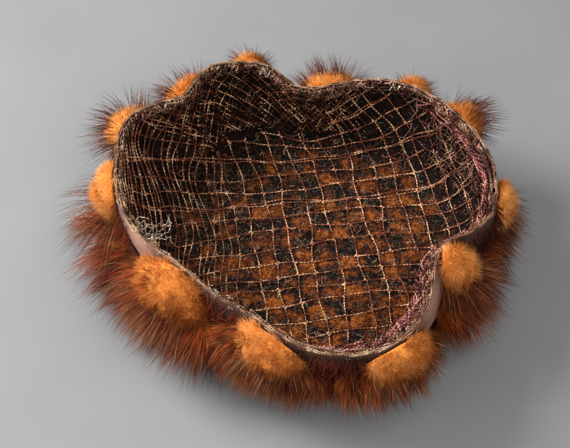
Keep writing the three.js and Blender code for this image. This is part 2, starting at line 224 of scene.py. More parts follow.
def lining_point(angle, reach, offset):
    """Points and outward directions of the lining, at a distance along it from the middle of the crown."""
    angle, reach = np.broadcast_arrays(np.asarray(angle, float), np.asarray(reach, float))
    station = np.interp(reach, PROFILE_REACH, PROFILE)
    on_crown = (reach < CROWN_RADIUS)[..., None]
    point = np.where(on_crown, CROWN_MIDDLE + ray_at(angle) * reach[..., None], wall_point(angle, station))
    out = np.where(on_crown, -UP, wall_out(angle, station))
    return point + out * np.asarray(offset, float)[..., None], out


def smooth_noise(points, size, seed, octaves=3):
    """Soft noise from -1 to 1 at points, made of crossing waves about size apart."""
    waves = np.random.default_rng(seed)
    waves_each, fade, gain = 6, 0.55, 2.2
    total = np.zeros(points.shape[:-1])
    weight = 0.0
    for octave in range(octaves):
        strength = fade**octave
        for _ in range(waves_each):
            axis = unit(waves.normal(size=3)) * TAU / (size * 0.5**octave)
            total = total + strength * np.sin(points @ axis + waves.uniform(0, TAU))
        weight += strength * waves_each
    return np.clip(total / weight * gain, -1, 1)


# Materials


def colour(code):
    """An sRGB hex value as linear red, green, blue and alpha."""
    parts = [int(code[i:i + 2], 16) / 255 for i in (0, 2, 4)]
    return [c / 12.92 if c <= 0.04045 else ((c + 0.055) / 1.055) ** 2.4 for c in parts] + [1.0]


def add(tree, kind, settings):
    """Adds a node. Each setting is another node's output to link in, a socket's value or a property."""
    node = tree.nodes.new(kind)
    for key, value in settings.items():
        if isinstance(value, bpy.types.NodeSocket):
            tree.links.new(value, node.inputs[key])
        elif isinstance(key, int) or key in node.inputs:
            node.inputs[key].default_value = value
        else:
            setattr(node, key, value)
    return node


def ramp(tree, factor, *stops):
    """A colour ramp of (place, hex) stops."""
    node = add(tree, "ShaderNodeValToRGB", {"Fac": factor})
    band = node.color_ramp
    while len(band.elements) < len(stops):
        band.elements.new(0.5)
    for element, (place, code) in zip(band.elements, stops):
        element.position = place
        element.color = colour(code)
    return node.outputs["Color"]


def mix(tree, kind, factor, first, second):
    """Two colours mixed, each another node's output or a plain colour."""
    settings = {"data_type": "RGBA", "blend_type": kind, 0: factor, 6: first, 7: second}
    return add(tree, "ShaderNodeMix", settings).outputs[2]


def times_plus(tree, value, factor, extra):
    """The value times factor plus extra."""
    settings = {"operation": "MULTIPLY_ADD", 0: value, 1: factor, 2: extra}
    return add(tree, "ShaderNodeMath", settings).outputs[0]


def grain(tree, size, detail=2.0, roughness=0.5):
    """Noise that stays on the hat, its grains about size across."""
    place = add(tree, "ShaderNodeTexCoord", {}).outputs["Object"]
    settings = {"Scale": 1 / (size * MM), "Detail": detail, "Roughness": roughness, "Vector": place}
    return add(tree, "ShaderNodeTexNoise", settings).outputs["Fac"]


def hair_map(tree):
    """The two values of the mesh's own map."""
    uv = add(tree, "ShaderNodeUVMap", {"uv_map": "HairMap"}).outputs["UV"]
    parts = add(tree, "ShaderNodeSeparateXYZ", {"Vector": uv})
    return parts.outputs["X"], parts.outputs["Y"]


def new_material(name, roughness, specular=0.3):
    """A material, its nodes and its Principled surface."""
    material = bpy.data.materials.new(name)
    material.use_nodes = True
    shader = material.node_tree.nodes["Principled BSDF"]
    shader.inputs["Roughness"].default_value = roughness
    shader.inputs["Specular IOR Level"].default_value = specular
    return material, material.node_tree, shader


def paint(tree, shader, source, relief=None, strength=0.9, depth=1.2):
    """Links a colour to the shader, and a relief as bump of a depth."""
    tree.links.new(source, shader.inputs["Base Color"])
    if relief:
        bump = add(tree, "ShaderNodeBump", {"Strength": strength, "Distance": depth * MM, "Height": relief})
        tree.links.new(bump.outputs["Normal"], shader.inputs["Normal"])


def hair_material(name, along, spread, roughness, patch_size, patch_shade):
    """Hair coloured from root to tip by along, and lighter or darker from hair to hair by spread."""
    material, tree, shader = new_material(name, roughness, 0.15)
    length, each = hair_map(tree)
    tinted = mix(tree, "MULTIPLY", 1.0, ramp(tree, length, *along), ramp(tree, each, *spread))
    shade = ramp(tree, grain(tree, patch_size), (0.36, patch_shade), (0.62, "FFFFFF"))
    paint(tree, shader, mix(tree, "MULTIPLY", 1.0, tinted, shade))
    return material


# Kolinsky underfur: short, very fine, woolly and matt, amber-orange, browner at the root.
UNDERFUR = hair_material(
    "Kolinsky underfur, dense and matt",
    [(0.0, "B25C1C"), (0.4, "E08838"), (1.0, "FFBC78")],
    [(0.0, "AE9484"), (0.5, "DCD0C6"), (1.0, "FFFFFF")], 0.95, 16, "DCC0A4")
# Kolinsky guard hair: long, straight, glossy, dark brown with a paler shine.
GUARD_HAIR = hair_material(
    "Kolinsky guard hair, glossy",
    [(0.0, "7A3A1C"), (0.5, "86482A"), (1.0, "5E3422")],
    [(0.0, "7A6A60"), (0.55, "C4B4A8"), (0.85, "FFF4EA"), (1.0, "FFFFFF")], 0.55, 20, "C0B4AC")
# The lower tufts' guard hair is redder.
LOWER_HAIR = hair_material(
    "Kolinsky guard hair, red-brown",
    [(0.0, "8C3412"), (0.5, "C2602A"), (1.0, "A85A2C")],
    [(0.0, "46302A"), (0.5, "C09A80"), (0.85, "FFE0C8"), (1.0, "FFF4EA")], 0.55, 18, "8A6650")
LOWER_UNDERFUR = hair_material(
    "Kolinsky underfur, shaded brown",
    [(0.0, "6E300E"), (0.5, "B05C1E"), (1.0, "D8863C")],
    [(0.0, "9A8878"), (0.5, "DCD2C8"), (1.0, "FFFFFF")], 0.9, 15, "5A3E2C")
# A few guard hairs are paler towards the tip: painted highlights on the hair tips.
HIGHLIGHT_HAIR = hair_material(
    "Kolinsky guard hair, painted tip highlight",
    [(0.0, "8A4E2C"), (0.6, "B8865C"), (1.0, "E4C8A4")],
    [(0.0, "B8A898"), (1.0, "FFFFFF")], 0.55, 25, "D8D0C8")


def pelt_material(name, dark, light, size):
    """The pelt under the hair, mottled and rough."""
    material, tree, shader = new_material(name, 0.95)
    mottle = grain(tree, size, 6.0, 0.7)
    paint(tree, shader, ramp(tree, mottle, (0.3, dark), (0.68, light)), mottle)
    return material


PUFF_PELT = pelt_material("Underfur, packed", "C06A20", "E89444", 1.6)
LOWER_PELT = pelt_material("Fur at the root, dark brown", "1E0E07", "5A2C14", 3.0)


def pressed_fur_material():
    """Fur and dark felt pressed up into the meshes of the net: the map says how orange and how high up the
    wall each place is. Up the wall the colour is painted nearly black, for the shade there."""
    material, tree, shader = new_material("Fur and felt pressed through the net", 0.9, 0.12)
    orange, on_wall = hair_map(tree)
    fine = grain(tree, 1.5, 5.0, 0.8)
    broad = grain(tree, 5, 3.0)
    amount = times_plus(tree, orange, 1.0, times_plus(tree, broad, 2.0, -1.02))
    floor = ramp(tree, amount, (0.05, "21150D"), (0.26, "482613"), (0.46, "783F1B"), (0.85, "B46A2A"))
    # Up the wall the pressed fur is painted nearly black: painted shade on the inner wall.
    wall = ramp(tree, broad, (0.35, "080403"), (0.65, "26110C"))
    streaks = ramp(tree, fine, (0.38, "2C1C12"), (0.55, "CCBCAC"), (0.7, "FFFFFF"))
    shaded = mix(tree, "MULTIPLY", 1.0, mix(tree, "MIX", on_wall, floor, wall), streaks)
    # A painted gleam: olive-grey is added where the felt stands up, more in the dark meshes than in the
    # orange ones.
    felt = ramp(tree, amount, (0.1, "FFFFFF"), (0.45, "808080"))
    felt = mix(tree, "MIX", on_wall, felt, colour("606060"))
    gleam = mix(tree, "MULTIPLY", 1.0, felt, ramp(tree, fine, (0.54, "000000"), (0.67, "5A584E")))
    paint(tree, shader, mix(tree, "ADD", 1.0, shaded, gleam), fine)
    return material


PRESSED_FUR = pressed_fur_material()


def thread_material(name, dark, middle, light, twist, roughness, plies=0.12):
    """Two-ply yarn, with painted highlights in dashes, a twist apart, where the plies would catch the
    light.
    """
    material, tree, shader = new_material(name, roughness)
    along, each = hair_map(tree)
    # A sine along the yarn paints the dashes of highlight.
    turns = times_plus(tree, along, TAU / twist, 0.0)
    wave = add(tree, "ShaderNodeMath", {"operation": "SINE", 0: turns}).outputs[0]
    tone = times_plus(tree, grain(tree, 6, 3.0), 1.0, times_plus(tree, wave, plies, 0.2))
    tone = times_plus(tree, each, 0.16, tone)
    paint(tree, shader, ramp(tree, tone, (0.56, dark), (0.8, middle), (0.98, light)))
    return material


# Coarse net of twisted, waxed cotton: rusty brown, with painted tan glints where the plies stand up.
NET_YARN = thread_material("Net yarn, two-ply cotton", "34160A", "84442A", "E6BA8C", 1.8, 0.5, 0.10)
# The fine net under it is nearly black, with a slight painted gleam.
FINE_YARN = thread_material("Fine net, black-brown rayon", "080604", "1C130D", "4C3C2A", 1.4, 0.5)
# Some threads of the fine net are drawn olive-grey: painted glints of light.
PAINTED_GLINT_YARN = thread_material("Fine net, painted olive-grey glints", "1E1A12", "524A38", "B8AC8E", 1.4, 0.4)
RUST_YARN = thread_material("Fine net, rusty brown", "260E08", "743420", "C8825C", 1.4, 0.45)
MAUVE_YARN = thread_material("Gathered net edge, mauve", "2A0C0A", "7C3E36", "CA9082", 1.6, 0.6)
BROWN_YARN = thread_material("Gathered net edge, brown", "1E0F09", "5A3624", "C49C74", 1.6, 0.6)
FRAYED_YARN = thread_material("Frayed thread ends, bleached", "6E5E50", "A8947E", "EFE6D8", 2.0, 0.7)
STITCH_YARN = thread_material("Overcast stitches, tan cotton", "3E2416", "846044", "C8A684", 1.2, 0.6, 0.06)


def band_material():
    """Plain-woven mauve-taupe rayon. Outside it shows mauve in the open gaps between the fur and is painted
    dark brown elsewhere, for the shade under the fur; inside it is painted nearly black, for shade.
    """
    material, tree, shader = new_material("Band cloth, plain-woven rayon", 0.85)
    unshaded_share, outside = hair_map(tree)
    soil = grain(tree, 16, 5.0)
    unshaded = ramp(tree, soil, (0.3, "7E574C"), (0.7, "AC8472"))
    shade_under_fur = ramp(tree, soil, (0.3, "2A1710"), (0.7, "4A2C20"))
    # Inside, the cloth is painted nearly black: painted shade.
    inner = ramp(tree, soil, (0.3, "1C100A"), (0.7, "3A2318"))
    # Away from the open gaps the outside is painted dark brown: painted shade under the fur.
    outer = mix(tree, "MIX", unshaded_share, shade_under_fur, unshaded)
    place = add(tree, "ShaderNodeTexCoord", {}).outputs["Object"]
    weave = add(tree, "ShaderNodeTexBrick", {"Scale": 1 / (0.8 * MM), "Mortar Size": 0.12, "Vector": place})
    paint(tree, shader, mix(tree, "MIX", outside, inner, outer), weave.outputs["Fac"], 0.35, 0.3)
    return material


BAND_CLOTH = band_material()


# Meshes of hairs and threads

FOOT_FACE = [2, 1, 0]
SIDE_FACES = [[0, 1, 4, 3], [1, 2, 5, 4], [2, 0, 3, 5]]
TIP_FACES = [[0, 1, 3], [1, 2, 3], [2, 0, 3]]
MIDDLE_WIDTH = 0.85  # the width at the middle, as a share of that at the foot


class Strands:
    """Collects the corners and faces of many strands, with a map value for each corner."""

    def __init__(self):
        self.points = []
        self.faces = []
        self.maps = []
        self.slots = []
        self.normals = []
        self.materials = []
        self.count = 0

    def take(self, points, faces, maps, material, normals=None):
        """points is (n, 3), faces a list of index arrays, maps (n, 2). Normals that are not given are the
        faces' own."""
        points = points.reshape(-1, 3)
        if material not in self.materials:
            self.materials.append(material)
        self.points.append(points)
        self.normals.append(np.zeros_like(points) if normals is None else normals.reshape(-1, 3))
        self.maps.append(maps.reshape(-1, 2))
        for group in faces:
            rows = group.reshape(-1, group.shape[-1]) + self.count
            self.faces += rows.tolist()
            self.slots += [self.materials.index(material)] * len(rows)
        self.count += len(points)

    def tubes(self, paths, outward, size, twist, material, sides=4, taper=False):
        """Tubes along paths (n, k, 3), outward pointing to one side. The section is an ellipse, its width
        and height in size, which turns once every twist. Their ends are closed."""
        n, k = paths.shape[:2]
        run = unit(np.gradient(paths, axis=1))
        across = unit(np.cross(run, outward))
        out = np.cross(across, run)
        steps = np.linalg.norm(np.diff(paths, axis=1), axis=-1)
        along = np.concatenate([np.zeros((n, 1)), np.cumsum(steps, 1)], 1)
        phase = (TAU * along / twist if twist else 0 * along) + rng.uniform(0, TAU, (n, 1))
        share = np.ones((1, k, 1, 1))
        if taper:
            share = (1 - 0.75 * np.abs(np.linspace(-1, 1, k)) ** 3)[None, :, None, None]
        turn = np.arange(sides) * TAU / sides
        a, b = np.cos(turn) * size[0] / 2, np.sin(turn) * size[1] / 2
        c, s = np.cos(phase)[..., None], np.sin(phase)[..., None]
        first, second = (a * c - b * s)[..., None], (a * s + b * c)[..., None]
        rings = paths[:, :, None] + share * (first * across[:, :, None] + second * out[:, :, None])
        index = np.arange(n * k * sides).reshape(n, k, sides)
        following = np.roll(index, -1, axis=2)
        walls = np.stack([index[:, :-1], following[:, :-1], following[:, 1:], index[:, 1:]], -1)
        maps = np.stack([np.broadcast_to(along[..., None], (n, k, sides)),
                         np.broadcast_to(rng.random((n, 1, 1)), (n, k, sides))], -1)
        self.take(rings, [walls, index[:, 0, ::-1], index[:, -1]], maps, material)

    def wall_yarns(self, angle, station, offset, size, twist, material):
        """Yarns that lie on the wall, one a row, at an offset out of it."""
        angle = np.atleast_2d(angle)
        self.tubes(layer_point(angle, station, offset), wall_out(angle, station), size, twist, material)

    def hairs(self, roots, tips, width, material, shade=None, middles=None, normals=None):
        """Hairs, each a closed spike with three sides. Long ones bend at their middles. Short ones can be
        lit as the surface is that they grow from, which keeps very fine fur soft."""
        run = unit(tips - roots)
        side = unit(np.cross(run, unit(rng.normal(size=run.shape))))
        other = np.cross(run, side)
        rays = [(side * np.cos(turn) + other * np.sin(turn)) * width / 2 for turn in np.arange(3) * TAU / 3]
        corners = [roots + ray for ray in rays]
        place = [0.0, 0.0, 0.0, 1.0]
        if middles is not None:
            corners += [middles + ray * MIDDLE_WIDTH for ray in rays]
            place[3:3] = [0.5, 0.5, 0.5]
        points = np.stack(corners + [tips], 1)
        n, k = points.shape[:2]
        index = np.arange(n * k).reshape(n, k)
        faces = [index[:, FOOT_FACE], index[:, -4:][:, TIP_FACES]]
        if middles is not None:
            faces.append(index[:, SIDE_FACES])
        each = rng.random(n) if shade is None else shade
        maps = np.stack([np.broadcast_to(place, (n, k)), np.repeat(each[:, None], k, 1)], -1)
        lit = None if normals is None else np.repeat(normals[:, None], k, 1)
        self.take(points, faces, maps, material, lit)

    def grid(self, points, material):
        """A closed skin over rings (k, m, 3): rings run round, and the first and last close to a cap."""
        k, m = points.shape[:2]
        index = np.arange(k * m).reshape(k, m)
        following = np.roll(index, -1, axis=1)
        walls = np.stack([index[:-1], following[:-1], following[1:], index[1:]], -1)
        self.take(points, [walls, index[:1, ::-1], index[-1:]], np.full((k, m, 2), 0.5), material)

    def build(self, name):
        """The piece made of all that was taken."""
        mesh = bpy.data.meshes.new(name)
        mesh.from_pydata((np.concatenate(self.points) * MM).tolist(), [], self.faces)
        layer = mesh.uv_layers.new(name="HairMap")
        corners = np.empty(len(mesh.loops), np.int32)
        mesh.loops.foreach_get("vertex_index", corners)
        layer.data.foreach_set("uv", np.concatenate(self.maps)[corners].astype(np.float32).ravel())
        for material in self.materials:
            mesh.materials.append(material)
        mesh.polygons.foreach_set("material_index", np.array(self.slots, np.int32))
        mesh.polygons.foreach_set("use_smooth", np.ones(len(mesh.polygons), bool))
        mesh.update()
        lit = np.concatenate(self.normals)
        if lit.any():
            mesh.normals_split_custom_set_from_vertices(lit.tolist())
        piece = bpy.data.objects.new(name, mesh)
        bpy.context.scene.collection.objects.link(piece)
        return piece


# Every hair stays within this box, a little outside the solids', and above the table.
SPREAD = 0.03
ALLOWANCE = 9.0
BOX_LOW = np.array(cad_box[0]) / MM
BOX_HIGH = np.array(cad_box[1]) / MM
HAIR_LOW = BOX_LOW - (BOX_HIGH - BOX_LOW) * SPREAD - ALLOWANCE
HAIR_HIGH = BOX_HIGH + (BOX_HIGH - BOX_LOW) * SPREAD + ALLOWANCE
TABLE_CLEARANCE = 0.35


def kept_in(roots, points):
    """Shortens hairs whose points would leave the box, and lays on the table those that would enter it."""
    run = points - roots
    with np.errstate(divide="ignore", invalid="ignore"):
        back = np.where(run < 0, (HAIR_LOW - roots) / run, np.inf)
        far = np.where(run > 0, (HAIR_HIGH - roots) / run, back)
    share = far[..., :2].min(-1)
    share = np.clip(np.where(share < 1, share * rng.uniform(0.8, 1.0, len(points)), 1.0), 0.1, 1.0)
    points = roots + run * share[..., None]
    points[..., 2] = np.maximum(points[..., 2], TABLE_CLEARANCE + rng.uniform(0, 1.2, len(points)))
    return points


def bent(roots, flare, length, sag):
    """Middles and tips of long hairs that grow along flare and sag towards the tip."""
    middles = kept_in(roots, roots + flare * length * 0.5)
    return middles, kept_in(roots, roots + (flare + [0, 0, -sag]) * length)


class Tuft:
    """A tuft of fur on the wall: a dome, placed by unit directions along the wall, out of it and up it."""

    def __init__(self, row, bottom, top):
        self.angle = float(row["at"])
        self.wide, self.deep = row["wide"], row["deep"]
        self.tall = (top - bottom) / 2
        self.height = (top + bottom) / 2
        self.size = self.wide * (self.deep + self.tall) / 400
        station = station_at(self.height, self.angle)
        self.facing = wall_out(self.angle, station)
        self.across = unit(np.cross(UP, self.facing))
        self.rise = np.cross(self.facing, self.across)
        self.radius = np.linalg.norm(wall_point(self.angle, station)[:2] - RIM_CENTRE)

    def place(self, ways, shrink=0.0):
        """Points of the dome in unit directions ways (n, 3): along, out and up."""
        wide, tall, deep = self.wide - shrink, self.tall - shrink, self.deep - shrink
        angle = self.angle + np.degrees(ways[..., 0] * wide / self.radius)
        height = self.height + ways[..., 2] * tall
        rim = wall_point(angle, RIM_STATION)[..., 2]
        foot = layer_point(angle, station_at(np.minimum(height, rim), angle), BAND_OUTER + TUFT_GAP)
        foot[..., 2] += np.maximum(height - rim, 0)
        stand = deep * np.maximum(ways[..., 1], 0)
        return foot + self.facing * stand[..., None]

    def normals(self, ways):
        """The dome's outward directions, in the hat's frame."""
        ways = ways / [self.wide, self.deep, self.tall]
        return unit(ways[..., :1] * self.across + ways[..., 1:2] * self.facing + ways[..., 2:] * self.rise)

    def ball(self, strands, material, shrink, seed, lumps):
        """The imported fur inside, a ball with soft lumps."""
        rings, spokes, end = 22, 32, 0.05
        front = np.linspace(0.15, np.pi / 2, rings - 2)
        polar = np.concatenate([[end], front, [np.pi - end]])[::-1, None]
        turn = np.arange(spokes) * TAU / spokes
        level = np.sin(polar)
        ways = np.stack([level * np.cos(turn), np.cos(polar) + 0 * turn, level * np.sin(turn)], -1)
        points = self.place(ways, shrink)
        swell = smooth_noise(points, 11, seed) * lumps * (0.5 + 0.5 * ways[..., 1])
        strands.grid(points + self.normals(ways) * swell[..., None], material)


def random_ways(number, rear=0.0, low=-1.0, high=1.0):
    """Directions spread evenly over a dome: in front of the wall, and between two heights."""
    ways = unit(rng.normal(size=(number * 7, 3)))
    fits = (ways[:, 1] > rear) & (ways[:, 2] > low) & (ways[:, 2] < high)
    return ways[fits][:number]


def swirls(points, size, seed):
    """Soft directions that turn slowly from place to place, for the lie of fur."""
    return np.stack([smooth_noise(points, size, seed + i, 2) for i in range(3)], -1)


# Numbers of hairs on a tuft: the least, and how many more for each unit of its size.
PUFF_WOOL = (2200, 2850)
PUFF_GUARD = (80, 340)
LOWER_WOOL = (850, 900)
LOWER_ORANGE = (0, 900)
LOWER_GUARD = (450, 700)
# Widths of hairs
PUFF_WOOL_WIDTH = 0.27
LOWER_WOOL_WIDTH = 0.32
LOWER_ORANGE_WIDTH = 0.34
PUFF_GUARD_WIDTH = 0.22
GUARD_WIDTH = 0.24
VEIL_WIDTH = 0.26
LINING_HAIR_WIDTH = 0.26
FRINGE_WIDTH = 0.28
# A puff's guard hair on the near and on the far side of the hat: how dense it is, how high up the puff it
# grows, how it lifts, the longest as a share of its reach, and the share of pale hairs with painted
# highlights.
NEAR_GUARD = {"dense": 1.3, "high": 0.0, "lift": -0.35, "longest": 0.8, "pale": 0.2}
FAR_GUARD = {"dense": 2, "high": 0.9, "lift": 0.1, "longest": 1.0, "pale": 0.0}
# How far back a puff is, by the sine of its angle, where its wool is loose and its guard hair the far one
LOOSE_BEHIND = 0.1
FAR_BEHIND = 0.2
# In the lower tufts, the share of pale hairs with painted highlights, the hairs in a lock and how far
# middles and tips are drawn in
LOWER_HIGHLIGHT_SHARE = 0.16
LOCK_HAIRS = 20
LOCK_PULLS = (0.25, 0.62)


def hair_count(counts, size, dense=1):
    """How many hairs a tuft of a size has, from the least and how many more for each unit of size."""
    return int((counts[0] + counts[1] * size) * dense)


def rim_puff(row, number):
    """One orange puff: packed underfur, a woolly coat and sparse guard hair."""
    rim = wall_point(row["at"], RIM_STATION)[2]
    tuft = Tuft(row, row["bottom"], rim + row["top"])
    strands = Strands()
    tuft.ball(strands, PUFF_PELT, 0.6, number, 1.1)
    ways = random_ways(hair_count(PUFF_WOOL, tuft.size))
    roots = tuft.place(ways, 1.0)
    clumps = smooth_noise(roots, 6, number + 40)
    lie = swirls(roots, 12, 10 * number)
    normals = tuft.normals(ways)
    behind = np.sin(np.radians(row["at"]))
    loose = 0.5 if behind > LOOSE_BEHIND else 0.28
    run = unit(normals + lie + [0, 0, -0.1] + rng.normal(size=roots.shape) * loose)
    length = rng.uniform(3.0, 5.6, len(ways)) + clumps
    tips = kept_in(roots, roots + run * length[:, None])
    # The wool is drawn lighter towards the top of the puff and darker towards its foot: painted light from
    # above. The puff's tone lightens or darkens all of it, and clumps and noise vary it from hair to hair.
    shade = 0.45 + row["tone"] + 0.22 * clumps + 0.28 * ways[:, 2] + rng.normal(size=len(ways)) * 0.14
    strands.hairs(roots, tips, PUFF_WOOL_WIDTH, UNDERFUR, np.clip(shade, 0, 1), normals=normals)

    guard = FAR_GUARD if behind > FAR_BEHIND else NEAR_GUARD
    ways = random_ways(hair_count(PUFF_GUARD, tuft.size, guard["dense"]), high=guard["high"])
    roots = tuft.place(ways, 2.0)
    flare = unit(tuft.normals(ways) * [1, 1, 0.7] + tuft.facing * 0.4 + [0, 0, guard["lift"]]
                 + swirls(roots, 16, 5 * number) * 0.5 + rng.normal(size=roots.shape) * 0.14)
    length = row["fur"] * rng.uniform(0.45, guard["longest"], len(ways))[:, None]
    middles, tips = bent(roots, flare, length, 0.15)
    # Pale hairs carry painted highlights towards their tips.
    pale = rng.random(len(ways)) < guard["pale"]
    dark = ~pale
    strands.hairs(roots[dark], tips[dark], PUFF_GUARD_WIDTH, GUARD_HAIR, middles=middles[dark])
    strands.hairs(roots[pale], tips[pale], GUARD_WIDTH, HIGHLIGHT_HAIR, middles=middles[pale])
    piece = strands.build("puff_" + row["name"])
    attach(piece, "root")
    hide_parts("rim_tuft_" + row["name"])


def lower_fur(row, number, reach):
    """One lower tuft: brown underfur, orange patches, locks of guard hair and the veil beside it."""
    tuft = Tuft(row, LOWER_BOTTOM, row["top"])
    strands = Strands()
    tuft.ball(strands, LOWER_PELT, 1.0, number + 20, 1.4)
    ways = random_ways(hair_count(LOWER_WOOL, tuft.size))
    roots = tuft.place(ways, 1.5)
    clumps = smooth_noise(roots, 8, number + 80)
    normals = tuft.normals(ways)
    run = unit(normals + tuft.facing * 0.3 + [0, 0, -0.3] + swirls(roots, 14, 7 * number) * 0.6
               + rng.normal(size=roots.shape) * 0.25)
    tips = kept_in(roots, roots + run * rng.uniform(5, 10, len(ways))[:, None])
    shade = np.clip(0.5 + 0.5 * clumps, 0, 1)
    strands.hairs(roots, tips, LOWER_WOOL_WIDTH, LOWER_UNDERFUR, shade, normals=normals)

    # Low on the tuft the orange underfur comes through in patches.
    ways = random_ways(hair_count(LOWER_ORANGE, tuft.size), 0.15, -0.85, -0.1)
    roots = tuft.place(ways, 0.5)
    in_patch = smooth_noise(roots, 10, number + 120, 2) > 0.1
    ways, roots = ways[in_patch], roots[in_patch]
    normals = tuft.normals(ways)
    run = unit(normals + tuft.facing * 0.7 + [0, 0, -0.45] + rng.normal(size=roots.shape) * 0.22)
    tips = kept_in(roots, roots + run * rng.uniform(6, 14, len(ways))[:, None])
    strands.hairs(roots, tips, LOWER_ORANGE_WIDTH, UNDERFUR, normals=normals)

    ways = random_ways(hair_count(LOWER_GUARD, tuft.size, row["dense"]))
    roots = tuft.place(ways, 2.5)
    clumps = smooth_noise(roots, 9, number + 90, 2)[:, None]
    flare = unit(tuft.normals(ways) * [1, 1, 0.5] + tuft.facing * 0.6 + [0, 0, -0.34]
                 + swirls(roots, 11, 3 * number) * 0.75
                 + rng.normal(size=roots.shape) * np.where(rng.random((len(ways), 1)) < 0.2, 0.35, 0.1))
    length = reach * (0.35 + 0.65 * rng.random((len(ways), 1)) ** 1.6) * (1 + 0.3 * clumps)
    middles, tips = bent(roots, flare, length, 0.12)
    # The hairs draw together into locks, the tips most.
    locks = random_ways(len(ways) // LOCK_HAIRS)
    lock = (ways @ locks.T).argmax(1)
    members = np.bincount(lock, minlength=len(locks))[lock, None]
    for points, pull in zip((middles, tips), LOCK_PULLS):
        sums = np.stack([np.bincount(lock, points[:, i], len(locks)) for i in range(3)], -1)
        centre = sums[lock] / members
        points += (centre - points) * pull * rng.uniform(0.5, 1.2, (len(ways), 1))
    # Pale hairs carry painted highlights towards their tips.
    pale = rng.random(len(ways)) < LOWER_HIGHLIGHT_SHARE
    dark = ~pale
    tone = np.clip(0.5 + 0.35 * clumps[:, 0] + rng.normal(size=len(ways)) * 0.25, 0, 1)
    strands.hairs(roots[dark], tips[dark], GUARD_WIDTH, LOWER_HAIR, tone[dark], middles[dark])
    strands.hairs(roots[pale], tips[pale], GUARD_WIDTH, HIGHLIGHT_HAIR, middles=middles[pale])

    if "veil" in row:
        start, end, count = row["veil"]
        angle = rng.uniform(start, end, count)
        station = rng.uniform(3.4, 4.93, count)
        roots = layer_point(angle, station, BAND_OUTER - 0.1)
        out = wall_out(angle, station)
        side = unit(np.cross(UP, out)) * rng.normal(size=(count, 1)) * 0.5
        run = unit(out * rng.uniform(0.25, 0.7, (count, 1)) + side + [0, 0, -0.9])
        length = rng.uniform(6, 15, (count, 1))
        middles = roots + unit(run + out * 0.2) * length * 0.5
        # The veil is drawn mostly dark: painted shade in the notches between the tufts.
        tone = 0.6 * rng.random(count) ** 2
        strands.hairs(roots, roots + run * length, VEIL_WIDTH, LOWER_HAIR, tone, middles)
    piece = strands.build("lower_fur_" + row["name"])
    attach(piece, "root")
    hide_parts("lower_tuft_" + row["name"])


for number, (row, lower) in enumerate(zip(TUFTS, LOWER_TUFTS)):
    rim_puff(row, number)
    lower_fur(lower, number, row["fur"])


# How far along the lining the rings of the crown's pelt lie, up to the edge under the band
CROWN_REACHES = (1.0, 40, 54, 58, 62, 67, 72, np.interp(CROWN_STATION, PROFILE, PROFILE_REACH))
# The pelt's lip round the band's foot: how far out of the wall, how thick and up to which station
CROWN_LIP = BAND_OUTER + 0.5
CROWN_LIP_THICKNESS = 1.5
CROWN_LIP_STATION = BAND_FOOT + 0.3
# Heights and radii of the crown's side, from the table up
CROWN_SIDE = ((0.3, 56.0), (2.0, 62.0), (6.5, 68.0), (12.0, 70.0))
FRINGE_HAIRS = 3200


def crown_fur():
    """The pelt of the crown with its flat foot, and the fringe of hair by the table."""
    strands = Strands()
    angles = np.linspace(0, 360, 144, endpoint=False)
    middle = np.append(CROWN_MIDDLE[:2], 0)
    rings = [lining_point(angles, reach, BAND_INNER)[0] for reach in CROWN_REACHES]
    rings += [layer_point(angles, CROWN_STATION, CROWN_LIP),
              layer_point(angles, CROWN_LIP_STATION, CROWN_LIP),
              layer_point(angles, CROWN_LIP_STATION, CROWN_LIP + CROWN_LIP_THICKNESS)]
    waves = 1 + 0.03 * np.sin(np.radians(angles) * 11) + 0.02 * np.sin(np.radians(angles) * 23 + 1)
    for height, radius in (*CROWN_SIDE[::-1], (CROWN_SIDE[0][0], 1.0)):
        rings.append(middle + ray_at(angles) * (radius * waves)[:, None] + UP * height)
    strands.grid(np.stack(rings), LOWER_PELT)

    angle = rng.uniform(0, 360, FRINGE_HAIRS)
    height = rng.uniform(1.0, 13.0, FRINGE_HAIRS)
    radius = np.interp(height, *zip(*CROWN_SIDE)) - 2
    ray = ray_at(angle)
    roots = middle + ray * radius[:, None] + UP * height[:, None]
    flare = unit(ray + [0, 0, -0.25] + rng.normal(size=ray.shape) * 0.3)
    gap = np.abs([turn_from(row["at"], angle) for row in LOWER_TUFTS]).min(0)
    length = (rng.uniform(12, 28, FRINGE_HAIRS) * (1 - 0.6 * np.clip(gap / 16, 0, 1)))[:, None]
    middles, tips = bent(roots, flare, length, 0.1)
    strands.hairs(roots, tips, FRINGE_WIDTH, LOWER_HAIR, middles=middles)
    piece = strands.build("crown_pelt")
    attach(piece, "root")
    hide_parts("crown_fur")


crown_fur()

# Where the band shows between the fur and keeps its mauve: angle and width. Elsewhere its outside is
# painted dark brown, for the shade under the fur.
UNSHADED_BAND = ((194, 10), (313, 10), (20, 8))


